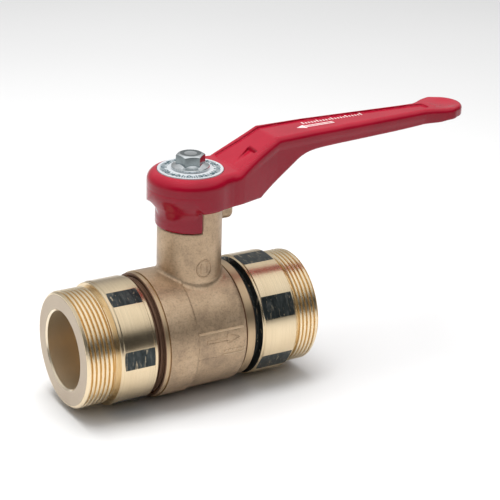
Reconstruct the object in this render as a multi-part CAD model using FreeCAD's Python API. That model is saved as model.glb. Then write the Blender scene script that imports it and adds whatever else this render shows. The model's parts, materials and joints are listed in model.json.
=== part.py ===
"""Full-bore ball valve, DN 40, with screwed G 2 end pieces and a lever handle.

Millimetres. X runs along the pipe from inlet (-X) to outlet (+X), Z up the stem.
The origin is the centre of the ball. The valve is drawn open: the lever lies
along +X, and it closes by turning 90 degrees clockwise seen from above.
"""
import FreeCAD, Part
import math
import os

V = FreeCAD.Vector
X_AXIS = V(1, 0, 0)
Z_AXIS = V(0, 0, 1)
ORIGIN = V(0, 0, 0)

# ---- driving dimensions -------------------------------------------------

BORE_R = 20.0                 # full bore of a DN 40 valve
BALL_R = 28.0
RUN = 0.05                    # radial clearance of a running or screwed fit

THREAD_R = 59.614 / 2         # G 2 pipe thread (ISO 228), at its crests
THREAD_CHAMFER = 1.35

# collar of an end piece: hexagon bar turned down until only narrow flats are left
COLLAR_R = 32.0
COLLAR_WIDTH = 20.2
COLLAR_RISE = 0.4
COLLAR_DROP = 0.05            # shoulders of the collar, below its flats
RELIEF_WIDTH = 1.8
RELIEF_R = 28.2

# stations along the pipe, counted outwards from the stem axis
INLET = {"sign": -1, "body_end": 29.3, "collar": 33.2, "end": 70.8,
         "spigot_r": 30.0, "flat_angle": 25.5, "apothem": 31.45, "shoulder": 1.7}
OUTLET = {"sign": 1, "body_end": 23.2, "collar": 27.0, "end": 62.0,
          "spigot_r": 28.5, "flat_angle": 3.5, "apothem": 31.25, "shoulder": 0.9}

SPIGOT_TIP = 13.6             # inner end of both spigots
SEAT_POCKET_R = 25.0
SEAT_FLOOR = 23.5
SEAT_BACK = 22.0
SEAT_FRONT = 15.5
SEAT_BORE_R = 20.5

# cast body
BODY_LEFT_R = 32.7
BODY_RIGHT_R = 31.9
BODY_STEP = -11.3             # where the two cast radii meet
RIM_R = 32.1                  # machined rim at the inlet end
RIM_WIDTH = 2.5
SHOULDER_START = 14.6         # where the cast outline starts to fall to the strip
STRIP_R = 30.5                # machined strip at the outlet end
STRIP_START = 17.9
CAVITY_R = 28.6
PANEL_R = 32.35               # raised panel on the front of the body
PANEL_X = (-10.8, 15.2)
PANEL_Z = (-5.2, 8.6)

NECK_R = 16.5
NECK_CORE_R = 13.4            # neck inside the sweep of the lever's skirt
NECK_STEP = 55.9
NECK_TOP = 65.0
STOP_TOP = 70.0
STOP_FROM = -94.6             # degrees about Z, +X = 0
STOP_TO = 42.6
LUG_REACH = 23.4
LUG_BOTTOM = 56.3
LUG_TOP = 67.1
LUG_WIDTH = 10.0
LUG_ROUND = 3.6

# stem and its seals
STEM_R = 7.5
STEM_FLATS = 11.5             # across the two flats that drive the handle
STEM_TOP = 82.6
TANG_BOTTOM = 24.2
TANG_THICK = 7.8
TANG_LENGTH = 20.0
SLOT_FLOOR = 23.8
SLOT_WIDTH = 8.0
SHOULDER_R = 11.0
SHOULDER_BOTTOM = 28.4
SHOULDER_TOP = 32.0
WASHER_TOP = 33.2
O_RING_LEVELS = (36.6, 41.6)
O_RING_R = 0.9                # radius of the stem O-ring's section
PACKING_R = 10.3
PACKING_FLOOR = 46.0
PACKING_HEIGHT = 2.8
FOLLOWER_TOP = 56.0
GLAND_R = 11.0
GLAND_FLOOR = 54.6
GLAND_TOP = 70.5
GLAND_HEX = 18.8              # across flats

# lever handle
HUB_R = 21.9
HUB_BOTTOM = 67.6
HUB_TOP = 85.0
HUB_ROUND = 5.5
HUB_LOW_ROUND = 1.8
HUB_CAVITY_R = 17.2
HUB_CEILING = 76.0
SKIRT_R = 17.6
SKIRT_INNER_R = 13.8
SKIRT_BOTTOM = 56.4
SKIRT_FROM = -226.0
SKIRT_TO = -96.0
FLARE_BOTTOM = 63.0           # cone that leads the hub's wall down into the skirt
FLARE_TOP = 74.0
FLARE_FROM = -185.0           # where the cone has replaced the hub's lower edge
FLARE_TO = -105.0
DIAL_SEAT = 84.3
DIAL_TOP = 85.5
DIAL_R = 16.7
PADDLE_X = 153.0
PADDLE_R = 11.8
PADDLE_BOTTOM = 93.8
PADDLE_TOP = 100.2

# flanged hexagon bolt, M8
BOLT_R = 4.0
BOLT_HEX = 13.0
BOLT_FLANGE_R = 9.7
BOLT_HEAD = 7.7
BOLT_TIP = 69.5
BOLT_TURN = 40.0              # how the hexagon happens to sit, degrees about Z


# ---- helpers ------------------------------------------------------------

def revolve_z(outline):
    """Solid of revolution about Z from (radius, height) points."""
    points = [V(r, 0, z) for r, z in outline]
    return Part.Face(Part.makePolygon(points + points[:1])).revolve(ORIGIN, Z_AXIS, 360)


def revolve_x(outline):
    """Solid of revolution about X from (station, radius) points."""
    points = [V(x, 0, r) for x, r in outline]
    return Part.Face(Part.makePolygon(points + points[:1])).revolve(ORIGIN, X_AXIS, 360)


def tube_z(low, high, inner, outer):
    return revolve_z([(inner, low), (outer, low), (outer, high), (inner, high)])


def rod_z(low, high, radius):
    return Part.makeCylinder(radius, high - low, V(0, 0, low), Z_AXIS)


def sector_z(low, high, inner, outer, start, stop):
    """Part of a tube about Z between two angles in degrees."""
    face = Part.Face(Part.makePolygon([
        V(inner, 0, low), V(outer, 0, low), V(outer, 0, high), V(inner, 0, high), V(inner, 0, low)]))
    solid = face.revolve(ORIGIN, Z_AXIS, stop - start)
    solid.rotate(ORIGIN, Z_AXIS, start)
    return solid


def hexagon_z(low, high, across_flats):
    corner = across_flats / math.sqrt(3)
    points = [V(corner * math.cos(k * math.pi / 3), corner * math.sin(k * math.pi / 3), low)
              for k in range(7)]
    return Part.Face(Part.makePolygon(points)).extrude(V(0, 0, high - low))


def block(x, y, z):
    """Box from (low, high) pairs."""
    return Part.makeBox(x[1] - x[0], y[1] - y[0], z[1] - z[0], V(x[0], y[0], z[0]))


def chamfered_hexagon_z(low, high, across_flats):
    """Hexagon whose upper corners are turned off, as on a bolt head."""
    corner = across_flats / math.sqrt(3)
    edge = across_flats / 2 - 0.1
    drop = (corner + 0.2 - edge) * math.tan(math.radians(30))
    envelope = revolve_z([(0, low), (corner + 0.2, low), (corner + 0.2, high - drop),
                          (edge, high), (0, high)])
    return hexagon_z(low, high, across_flats).common(envelope)


# ---- pieces along the pipe ----------------------------------------------

def end_piece(side):
    """Brass end: barrel of the G 2 male thread, collar with six flats, spigot with a seat pocket."""
    collar_out = side["collar"] + COLLAR_WIDTH
    thread_start = collar_out + RELIEF_WIDTH
    spigot_r = side["spigot_r"]
    groove_mid = side["body_end"] - 2.4
    groove_r = spigot_r - 1.9
    low_collar_r = side["apothem"] - COLLAR_DROP
    crest = (side["collar"] + side["shoulder"], collar_out - side["shoulder"])
    outline = [
        (SPIGOT_TIP, SEAT_POCKET_R), (SPIGOT_TIP, spigot_r - 0.8), (SPIGOT_TIP + 0.8, spigot_r),
        (groove_mid - 1.3, spigot_r), (groove_mid - 1.3, groove_r),
        (groove_mid + 1.3, groove_r), (groove_mid + 1.3, spigot_r),
        (side["body_end"], spigot_r), (side["body_end"] + 0.6, spigot_r - 1.2),
        (side["collar"], spigot_r - 1.2), (side["collar"], low_collar_r),
        (crest[0], low_collar_r), (crest[0] + COLLAR_RISE, COLLAR_R),
        (crest[1] - COLLAR_RISE, COLLAR_R), (crest[1], low_collar_r),
        (collar_out, low_collar_r), (collar_out, RELIEF_R),
        (thread_start - 0.8, RELIEF_R), (thread_start, THREAD_R),
        (side["end"] - THREAD_CHAMFER, THREAD_R), (side["end"], THREAD_R - THREAD_CHAMFER),
        (side["end"], BORE_R + 0.8), (side["end"] - 0.8, BORE_R),
        (SEAT_FLOOR, BORE_R), (SEAT_FLOOR, SEAT_POCKET_R)]
    solid = revolve_x([(side["sign"] * x, r) for x, r in outline])
    reach = 2 * COLLAR_R
    station = sorted((side["sign"] * side["collar"], side["sign"] * collar_out))
    for k in range(6):
        chip = block(station, (-reach, reach), (side["apothem"], reach))
        chip.rotate(ORIGIN, X_AXIS, side["flat_angle"] + 60 * k)
        solid = solid.cut(chip)
    return solid


def seat_ring(sign):
    ring = revolve_x([(sign * SEAT_FRONT, SEAT_BORE_R), (sign * SEAT_FRONT, SEAT_POCKET_R - RUN),
                      (sign * SEAT_BACK, SEAT_POCKET_R - RUN), (sign * SEAT_BACK, SEAT_BORE_R)])
    return ring.cut(Part.makeSphere(BALL_R + RUN))


def o_ring_x(station, ring_r, section_r):
    return Part.makeTorus(ring_r, section_r, V(station, 0, 0), X_AXIS)


def ball():
    """Pierced ball with a slot across its top for the stem's tang."""
    solid = Part.makeSphere(BALL_R)
    solid = solid.cut(Part.makeCylinder(BORE_R, 2 * BALL_R, V(-BALL_R, 0, 0), X_AXIS))
    half = SLOT_WIDTH / 2
    return solid.cut(block((-half, half), (-BALL_R, BALL_R), (SLOT_FLOOR, BALL_R + 1)))


# ---- body ---------------------------------------------------------------

def body_shell():
    """Turned outline of the cast body, before the neck is added."""
    left = -INLET["body_end"]
    right = OUTLET["body_end"]
    return revolve_x([
        (left, 0), (left, RIM_R), (left + RIM_WIDTH, BODY_LEFT_R), (BODY_STEP, BODY_LEFT_R),
        (BODY_STEP + 0.4, BODY_RIGHT_R), (SHOULDER_START, BODY_RIGHT_R),
        (SHOULDER_START + 1.8, BODY_RIGHT_R - 0.4), (STRIP_START - 0.5, BODY_RIGHT_R - 0.9),
        (STRIP_START, STRIP_R),
        (right - 0.5, STRIP_R), (right, STRIP_R - 0.5), (right, 0)])


def stop_lug():
    """Boss that stands out of the neck under the open lever."""
    half = LUG_WIDTH / 2
    solid = block((NECK_R - 3, LUG_REACH), (-half, half), (LUG_BOTTOM, LUG_TOP))
    low_edges = [e for e in solid.Edges
                 if abs(e.CenterOfMass.x - LUG_REACH) < 0.01 and e.CenterOfMass.z < LUG_TOP - 1]
    return solid.makeFillet(LUG_ROUND, low_edges)


def marking_panel():
    """Shallow raised panel cast on the front of the body."""
    low, high = PANEL_X
    ring = revolve_x([(low, STRIP_R), (low, PANEL_R), (high, PANEL_R), (high, STRIP_R)])
    return ring.common(block(PANEL_X, (-BODY_LEFT_R - 1, -BODY_LEFT_R / 2), PANEL_Z))


def valve_body():
    neck = rod_z(20.0, NECK_STEP, NECK_R).fuse(rod_z(20.0, NECK_TOP, NECK_CORE_R))
    stop = sector_z(NECK_STEP - 5, STOP_TOP, NECK_CORE_R - 1.2, NECK_R, STOP_FROM, STOP_TO)
    cast = body_shell().fuse([neck, stop, stop_lug(), marking_panel()]).removeSplitter()
    inside = revolve_x([
        (-INLET["body_end"] - 1, 0), (-INLET["body_end"] - 1, INLET["spigot_r"] + RUN),
        (-SPIGOT_TIP + 0.4, INLET["spigot_r"] + RUN), (-SPIGOT_TIP + 0.4, CAVITY_R),
        (SPIGOT_TIP - 0.4, CAVITY_R), (SPIGOT_TIP - 0.4, OUTLET["spigot_r"] + RUN),
        (OUTLET["body_end"] + 1, OUTLET["spigot_r"] + RUN), (OUTLET["body_end"] + 1, 0)])
    stem_way = revolve_z([
        (0, 20), (SHOULDER_R + 0.3, 20), (SHOULDER_R + 0.3, WASHER_TOP),
        (STEM_R + RUN, WASHER_TOP), (STEM_R + RUN, PACKING_FLOOR),
        (PACKING_R + RUN, PACKING_FLOOR), (PACKING_R + RUN, GLAND_FLOOR),
        (GLAND_R + RUN, GLAND_FLOOR), (GLAND_R + RUN, STOP_TOP + 1), (0, STOP_TOP + 1)])
    return cast.cut(inside).cut(stem_way)


# ---- stem and gland -----------------------------------------------------

def stem():
    """Blow-out proof stem: tang, shoulder, two O-ring grooves and a double-D top."""
    groove_r = STEM_R - 2 * O_RING_R
    outline = [(0, SHOULDER_BOTTOM), (SHOULDER_R, SHOULDER_BOTTOM), (SHOULDER_R, SHOULDER_TOP),
               (STEM_R, SHOULDER_TOP)]
    for level in O_RING_LEVELS:
        outline += [(STEM_R, level - 1.15), (groove_r, level - 1.15),
                    (groove_r, level + 1.15), (STEM_R, level + 1.15)]
    outline += [(STEM_R, STEM_TOP - 0.8), (STEM_R - 0.8, STEM_TOP), (0, STEM_TOP)]
    solid = revolve_z(outline)
    half_t = TANG_THICK / 2
    half_l = TANG_LENGTH / 2
    tang = block((-half_t, half_t), (-half_l, half_l), (TANG_BOTTOM, SHOULDER_BOTTOM + 1))
    solid = solid.fuse(tang.common(rod_z(20, 40, SHOULDER_R)))
    half_f = STEM_FLATS / 2
    for sign in (-1, 1):
        cut_y = sorted((sign * half_f, sign * 2 * STEM_R))
        solid = solid.cut(block((-2 * STEM_R, 2 * STEM_R), cut_y, (HUB_CEILING - 2.5, STEM_TOP + 1)))
    return solid.cut(rod_z(BOLT_TIP - 1.5, STEM_TOP + 1, BOLT_R + RUN)).removeSplitter()


def stem_o_ring(level):
    return Part.makeTorus(STEM_R - O_RING_R, O_RING_R, V(0, 0, level), Z_AXIS)


def thrust_washer():
    return tube_z(SHOULDER_TOP + RUN, WASHER_TOP, STEM_R + RUN, SHOULDER_R)


def packing_ring(index):
    low = PACKING_FLOOR + index * PACKING_HEIGHT
    return tube_z(low, low + PACKING_HEIGHT, STEM_R + RUN, PACKING_R)


def gland_follower():
    low = PACKING_FLOOR + 2 * PACKING_HEIGHT
    return revolve_z([(STEM_R + RUN, low), (PACKING_R, low), (PACKING_R, FOLLOWER_TOP - 1.4),
                      (PACKING_R - 1.0, FOLLOWER_TOP), (STEM_R + RUN, FOLLOWER_TOP)])


def gland_nut():
    """Screwed gland: thread below, low hexagon above the neck."""
    shank = tube_z(FOLLOWER_TOP, NECK_TOP + 1.0, STEM_R + RUN, GLAND_R)
    head = chamfered_hexagon_z(NECK_TOP + 1.0, GLAND_TOP, GLAND_HEX)
    return shank.fuse(head).cut(rod_z(FOLLOWER_TOP - 1, GLAND_TOP + 1, STEM_R + RUN)).removeSplitter()


# ---- lever --------------------------------------------------------------

def arm_and_grip():
    """Cranked arm and tapering grip: side outline cut to the plan outline."""
    side = [(0, HUB_BOTTOM), (34.6, HUB_BOTTOM), (53.2, 82.0), (64.5, 88.3), (71, 89.1),
            (137, 90.9), (PADDLE_X, PADDLE_BOTTOM), (PADDLE_X, PADDLE_TOP - 0.5), (70, 98.9),
            (44.5, 98.2), (19.5, HUB_TOP), (0, HUB_TOP)]
    wall = Part.Face(Part.makePolygon([V(x, -20, z) for x, z in side + side[:1]]))
    wall = wall.extrude(V(0, 40, 0))
    half = [(0, 19.0), (14, 17.3), (20.5, 16.2), (27, 14.8), (35, 13.5), (46, 12.5), (62, 11.9),
            (100, 9.9), (141, 7.5), (147, 8.4), (PADDLE_X, 11.0)]
    plan = [V(x, y, 60) for x, y in half] + [V(x, -y, 60) for x, y in reversed(half)]
    plan = Part.Face(Part.makePolygon(plan + plan[:1])).extrude(V(0, 0, 50))
    return wall.common(plan).removeSplitter()


def thumb_paddle():
    solid = rod_z(PADDLE_BOTTOM, PADDLE_TOP, PADDLE_R)
    solid = solid.makeFillet(2.2, [e for e in solid.Edges if e.BoundBox.DiagonalLength > PADDLE_R
                                   and e.BoundBox.ZLength < 0.01])
    solid.translate(V(PADDLE_X, 0, 0))
    return solid


def grip_pocket():
    """Coring on the underside of the grip that keeps the casting's wall even."""
    side = [(66, 84), (66, 92.6), (138, 95.2), (138, 84)]
    wall = Part.Face(Part.makePolygon([V(x, -20, z) for x, z in side + side[:1]]))
    wall = wall.extrude(V(0, 40, 0))
    half = [(66, 7.6), (100, 6.0), (138, 3.9)]
    plan = [V(x, y, 80) for x, y in half] + [V(x, -y, 80) for x, y in reversed(half)]
    return wall.common(Part.Face(Part.makePolygon(plan + plan[:1])).extrude(V(0, 0, 20)))


def flare_ring(reach):
    """Ring between the flare's cone and a radius inside or outside it."""
    return revolve_z([(reach, FLARE_BOTTOM), (SKIRT_R, FLARE_BOTTOM), (HUB_R, FLARE_TOP),
                      (reach, FLARE_TOP)])


def flare_fill():
    """What the cone adds between the skirt and the hub's underside."""
    return flare_ring(SKIRT_R - 1).common(sector_z(
        FLARE_BOTTOM, HUB_BOTTOM + 0.5, SKIRT_R - 1, HUB_R, SKIRT_FROM, SKIRT_TO))


def flare_chip():
    """What the cone takes off the hub's lower edge over the front of the skirt."""
    return flare_ring(HUB_R + 1).common(sector_z(
        FLARE_BOTTOM, FLARE_TOP, SKIRT_R, HUB_R + 1, FLARE_FROM, FLARE_TO))


def handle():
    hub = rod_z(HUB_BOTTOM, HUB_TOP, HUB_R)
    hub = hub.makeFillet(HUB_ROUND, [e for e in hub.Edges if e.BoundBox.ZMin > HUB_TOP - 0.01])
    hub = hub.makeFillet(HUB_LOW_ROUND, [e for e in hub.Edges
                                         if e.BoundBox.ZMax < HUB_BOTTOM + 0.01])
    solid = hub.fuse([arm_and_grip(), thumb_paddle()]).cut(grip_pocket())
    solid = solid.cut(rod_z(HUB_BOTTOM - 1, HUB_CEILING, HUB_CAVITY_R))
    solid = solid.fuse(sector_z(SKIRT_BOTTOM, HUB_CEILING + 1, SKIRT_INNER_R, SKIRT_R,
                                SKIRT_FROM, SKIRT_TO))
    solid = solid.cut(flare_chip()).fuse(flare_fill())
    solid = solid.cut(rod_z(DIAL_SEAT, HUB_TOP + 1, DIAL_R + 0.2))
    drive = rod_z(HUB_CEILING - 1, HUB_TOP, STEM_R + RUN)
    half = STEM_FLATS / 2 + RUN
    drive = drive.common(block((-20, 20), (-half, half), (HUB_CEILING - 2, HUB_TOP + 1)))
    return solid.cut(drive).removeSplitter()


def dial_disc():
    disc = tube_z(DIAL_SEAT, DIAL_TOP, BOLT_R + 0.3, DIAL_R)
    rim = [e for e in disc.Edges if e.BoundBox.ZMin > DIAL_TOP - 0.01
           and e.BoundBox.XLength > DIAL_R]
    return disc.makeFillet(0.4, rim)


def handle_bolt():
    flange_low = 1.5
    flange_high = 2.6
    cone_r = BOLT_HEX / 2 + 0.9
    flange = revolve_z([(0, DIAL_TOP), (BOLT_FLANGE_R, DIAL_TOP),
                        (BOLT_FLANGE_R, DIAL_TOP + flange_low), (cone_r, DIAL_TOP + flange_high),
                        (0, DIAL_TOP + flange_high)])
    head = chamfered_hexagon_z(DIAL_TOP + 1, DIAL_TOP + BOLT_HEAD, BOLT_HEX)
    shank = revolve_z([(0, BOLT_TIP), (BOLT_R - 0.8, BOLT_TIP), (BOLT_R, BOLT_TIP + 0.8),
                       (BOLT_R, DIAL_TOP + 1), (0, DIAL_TOP + 1)])
    head.rotate(ORIGIN, Z_AXIS, BOLT_TURN)
    return flange.fuse([head, shank]).removeSplitter()


# ---- the assembly -------------------------------------------------------

def assembly():
    """Every separate piece of the valve, by node name."""
    nodes = {
        "valve_body": valve_body(),
        "ball": ball(),
        "stem": stem(),
        "stem_thrust_washer": thrust_washer(),
        "stem_o_ring_lower": stem_o_ring(O_RING_LEVELS[0]),
        "stem_o_ring_upper": stem_o_ring(O_RING_LEVELS[1]),
        "packing_ring_lower": packing_ring(0),
        "packing_ring_upper": packing_ring(1),
        "gland_follower": gland_follower(),
        "gland_nut": gland_nut(),
        "handle": handle(),
        "dial_disc": dial_disc(),
        "handle_bolt": handle_bolt(),
    }
    for name, side in (("inlet", INLET), ("outlet", OUTLET)):
        sign = side["sign"]
        nodes[name + "_end_piece"] = end_piece(side)
        nodes[name + "_seat_ring"] = seat_ring(sign)
        seat_gap = (SEAT_BACK + SEAT_FLOOR) / 2
        nodes[name + "_seat_o_ring"] = o_ring_x(sign * seat_gap, 22.8, (SEAT_FLOOR - SEAT_BACK) / 2)
        nodes[name + "_body_o_ring"] = o_ring_x(sign * (side["body_end"] - 2.4),
                                                side["spigot_r"] - 0.95, 0.93)
    return nodes


def main():
    os.makedirs("parts", exist_ok=True)
    for name, shape in sorted(assembly().items()):
        shape.exportStep(f"parts/{name}.step")
        print(f"{name:22s} valid {shape.isValid()}  solids {len(shape.Solids)}"
              f"  volume {shape.Volume:10.1f} mm3")


main()
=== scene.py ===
"""Looks of the full-bore ball valve: cast body, turned brass ends, red lever.

Shapes are written in millimetres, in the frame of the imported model, and turned
into metres when a mesh is made.
"""
import bpy
import json
import math
import numpy as np
from mathutils import Matrix, Vector


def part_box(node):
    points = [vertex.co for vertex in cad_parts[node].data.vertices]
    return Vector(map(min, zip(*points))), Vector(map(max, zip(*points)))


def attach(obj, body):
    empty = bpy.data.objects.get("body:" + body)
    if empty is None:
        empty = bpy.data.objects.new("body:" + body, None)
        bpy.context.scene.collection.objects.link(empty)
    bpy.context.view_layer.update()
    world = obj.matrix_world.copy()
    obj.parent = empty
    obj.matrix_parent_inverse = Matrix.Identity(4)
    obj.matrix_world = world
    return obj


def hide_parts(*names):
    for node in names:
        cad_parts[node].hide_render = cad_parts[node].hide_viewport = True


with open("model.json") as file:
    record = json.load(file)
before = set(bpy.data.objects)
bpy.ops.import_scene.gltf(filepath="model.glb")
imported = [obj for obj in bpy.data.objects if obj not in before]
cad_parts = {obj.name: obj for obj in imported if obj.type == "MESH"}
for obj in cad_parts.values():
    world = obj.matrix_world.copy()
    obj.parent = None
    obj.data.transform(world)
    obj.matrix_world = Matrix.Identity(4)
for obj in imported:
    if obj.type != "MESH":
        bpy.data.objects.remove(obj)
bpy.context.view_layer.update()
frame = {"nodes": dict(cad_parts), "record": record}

MM = 0.001


def node_box(node):
    """Lowest and highest corner of a CAD node, in millimetres."""
    low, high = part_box(node)
    return low / MM, high / MM


def mount(name):
    return next(m for m in frame["record"]["mounts"] if m["name"] == name)


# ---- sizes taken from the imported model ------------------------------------

BORE_R = mount("flow_bore")["dims"]["r_mm"]
THREAD_R = mount("inlet_thread")["dims"]["r_mm"]
BODY_R = node_box("valve_body")[1].y
BODY_LEFT = node_box("valve_body")[0].x
COLLAR_R = node_box("inlet_end_piece")[1].y
SPIGOT_TIP = node_box("outlet_end_piece")[0].x
HUB_R = -node_box("handle")[0].x
PADDLE_TIP = node_box("handle")[1].x
PADDLE_TOP = node_box("handle")[1].z
SKIRT_BOTTOM = node_box("handle")[0].z
DIAL_SEAT = node_box("dial_disc")[0].z
DIAL_TOP = node_box("dial_disc")[1].z
DIAL_R = node_box("dial_disc")[1].x
BOLT_TIP = node_box("handle_bolt")[0].z
BOLT_TOP = node_box("handle_bolt")[1].z
BOLT_FLANGE_R = node_box("handle_bolt")[1].y
STOP_TOP = node_box("valve_body")[1].z
LUG_REACH = node_box("valve_body")[1].x

# ---- sizes that only the looks need ---------------------------------------

THREAD_PITCH = 25.4 / 11
THREAD_DEPTH = 1.479
BODY_RIGHT = 23.2
BODY_RIGHT_R = 31.9
BODY_STEP = -11.3
PANEL_R = 32.35
THREAD_CHAMFER = 1.35
COLLAR_WIDTH = 20.2
RELIEF_WIDTH = 1.8
RELIEF_R = 28.3
SPIGOT_BORE_R = 25.0
SEAT_FLOOR = 23.5
NECK_TURNED_TO = 65.0
LUG_HALF_WIDTH = 5.0
LUG_BOTTOM = 56.3
LUG_TOP = 67.1
STOP_FROM, STOP_TO = -94.6, 42.6
SKIRT_FROM, SKIRT_TO = -226.0, -96.0
SKIRT_INNER_R = 13.8
HUB_CAVITY_R = 17.2
HUB_CAVITY_TOP = 76.0
HUB_WEB_BOTTOM = 74.0
DRIVE_R = 7.55
DRIVE_HALF_FLAT = 5.8
DIAL_SCALE_R = 13.4
MARK_BEAD = 0.42
NECK_R = 16.5
NECK_CORE_R = 13.4
NECK_STEP = 55.9
HUB_TOP = 85.0
HUB_BOTTOM = 67.6
SKIRT_R = 17.6
BOLT_HEX = 13.0
BOLT_TURN = 40.0


# ---- mesh helpers ----------------------------------------------------------

def mesh_piece(name, verts, faces, materials, face_materials=None, crease=32.0):
    """Object from millimetre vertices, smooth apart from edges sharper than crease degrees."""
    mesh = bpy.data.meshes.new(name)
    mesh.from_pydata((np.asarray(verts) * MM).tolist(), [], [list(f) for f in faces])
    for material in materials:
        mesh.materials.append(material)
    if face_materials is not None:
        mesh.polygons.foreach_set("material_index", np.asarray(face_materials, dtype=np.int32))
    mesh.update()
    mesh.polygons.foreach_set("use_smooth", [True] * len(mesh.polygons))
    mesh.set_sharp_from_angle(angle=math.radians(crease))
    piece = bpy.data.objects.new(name, mesh)
    bpy.context.scene.collection.objects.link(piece)
    return piece


def apply_modifiers(piece):
    graph = bpy.context.evaluated_depsgraph_get()
    mesh = bpy.data.meshes.new_from_object(piece.evaluated_get(graph))
    piece.modifiers.clear()
    piece.data = mesh


def carve(piece, tool, operation="DIFFERENCE", crease=32.0):
    """Exact boolean with a tool that is used up; cut faces keep the tool's material."""
    modifier = piece.modifiers.new("cut", "BOOLEAN")
    modifier.operation = operation
    modifier.solver = "EXACT"
    modifier.material_mode = "TRANSFER"
    modifier.object = tool
    apply_modifiers(piece)
    bpy.data.objects.remove(tool)
    piece.data.set_sharp_from_angle(angle=math.radians(crease))


def ring_grid(rows, columns, flip=False):
    """Quads of a grid closed in both directions."""
    i = np.arange(rows)[:, None]
    j = np.arange(columns)[None, :]
    a = i * columns + j
    b = i * columns + (j + 1) % columns
    c = (i + 1) % rows * columns + (j + 1) % columns
    d = (i + 1) % rows * columns + j
    quads = np.stack([a, b, c, d], -1).reshape(-1, 4)
    return quads[:, ::-1] if flip else quads


def turn(station, radius, axis, steps=192):
    """Vertices and quads of a closed outline turned about an axis; radius may vary around it."""
    angle = np.linspace(0, 2 * np.pi, steps, endpoint=False)
    station = np.broadcast_to(np.asarray(station, float)[:, None], (len(station), steps))
    radius = np.asarray(radius, float)
    if radius.ndim == 1:
        radius = np.broadcast_to(radius[:, None], station.shape)
    side, up = radius * np.sin(angle), radius * np.cos(angle)
    order = {"x": (station, side, up), "z": (side, up, station)}[axis]
    verts = np.stack(order, -1).reshape(-1, 3)
    return verts, ring_grid(*station.shape)


def outward(verts, quads):
    """The same faces, turned so that they face out of the closed mesh."""
    a, b, c, d = (verts[quads[:, k]] for k in range(4))
    volume = np.einsum("ij,ij->", a, np.cross(b, c)) + np.einsum("ij,ij->", a, np.cross(c, d))
    return quads if volume > 0 else quads[:, ::-1]


def turned_piece(name, outline, axis, materials, face_materials=None, steps=192):
    """Piece turned from a closed outline of (station, radius) points.

    An outline that starts and ends at radius 0 gives a solid piece, with one point at each end.
    """
    station, radius = zip(*outline)
    verts, quads = turn(station, radius, axis, steps)
    quads = outward(verts, quads)
    if face_materials is not None:
        face_materials = np.repeat(face_materials, steps)
    if radius[0] == radius[-1] == 0:
        quads, tip = quads[:-steps], len(verts) - steps
        quads = np.where(quads < steps, 0, np.where(quads >= tip, tip, quads))
        kept, index = np.unique(quads, return_inverse=True)
        verts, quads = verts[kept], index.reshape(quads.shape)
    faces = [tuple(dict.fromkeys(quad)) for quad in quads.tolist()]
    return mesh_piece(name, verts, faces, materials, face_materials)


def extruded(name, outline, low, high, materials, crease=32.0):
    """Prism over a plan outline."""
    n = len(outline)
    verts = [(x, y, low) for x, y in outline] + [(x, y, high) for x, y in outline]
    faces = [(k, (k + 1) % n, n + (k + 1) % n, n + k) for k in range(n)]
    faces += [tuple(range(n))[::-1], tuple(range(n, 2 * n))]
    return mesh_piece(name, verts, faces, materials, crease=crease)


def bevelled(piece, width, segments=3, angle=30.0):
    modifier = piece.modifiers.new("edges", "BEVEL")
    modifier.width = width * MM
    modifier.segments = segments
    modifier.limit_method = "ANGLE"
    modifier.angle_limit = math.radians(angle)
    apply_modifiers(piece)
    piece.data.polygons.foreach_set("use_smooth", [True] * len(piece.data.polygons))
    piece.data.set_sharp_from_angle(angle=math.radians(32.0))


def join(name, pieces):
    """One object out of several, keeping each one's materials."""
    first = pieces[0]
    with bpy.context.temp_override(active_object=first, selected_editable_objects=pieces):
        bpy.ops.object.join()
    first.name = name
    return first


# ---- signed distance fields ------------------------------------------------

def round_and(a, b, r):
    """What two fields share, with the edge between them rounded to radius r."""
    return np.minimum(np.maximum(a, b), -r) + np.hypot(np.maximum(a + r, 0), np.maximum(b + r, 0))


def round_or(a, b, r):
    """Both fields together, with a fillet of radius r between them."""
    return np.maximum(np.minimum(a, b), r) - np.hypot(np.maximum(r - a, 0), np.maximum(r - b, 0))


def polygon(u, v, points):
    """Signed distance to a closed polygon, negative inside."""
    nearest = np.full(np.broadcast(u, v).shape, np.inf)
    inside = np.zeros(nearest.shape, bool)
    for (ax, ay), (bx, by) in zip(points, points[1:] + points[:1]):
        ex, ey = bx - ax, by - ay
        t = np.clip(((u - ax) * ex + (v - ay) * ey) / (ex * ex + ey * ey), 0, 1)
        nearest = np.minimum(nearest, (u - ax - t * ex) ** 2 + (v - ay - t * ey) ** 2)
        if ay != by:
            inside ^= ((ay > v) != (by > v)) & (u < ex * (v - ay) / ey + ax)
    return np.where(inside, -1, 1) * np.sqrt(nearest)


def bend(points, rounds=2):
    """Open polyline with its inner corners cut into a smooth curve."""
    for _ in range(rounds):
        cut = [points[0]]
        for (ax, ay), (bx, by) in zip(points, points[1:]):
            cut += [(0.75 * ax + 0.25 * bx, 0.75 * ay + 0.25 * by),
                    (0.25 * ax + 0.75 * bx, 0.25 * ay + 0.75 * by)]
        points = cut + [points[-1]]
    return points


def sector(x, y, start, stop):
    """Wedge about the stem between two polar angles less than a half turn apart, in degrees."""
    start, stop = math.radians(start), math.radians(stop)
    edge_one = x * math.sin(start) - y * math.cos(start)
    edge_two = -x * math.sin(stop) + y * math.cos(stop)
    return round_and(edge_one, edge_two, 0.5)


def ramp(x, low, high):
    """Smooth step from 0 at low to 1 at high."""
    t = np.clip((x - low) / (high - low), 0, 1)
    return t * t * (3 - 2 * t)


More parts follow.
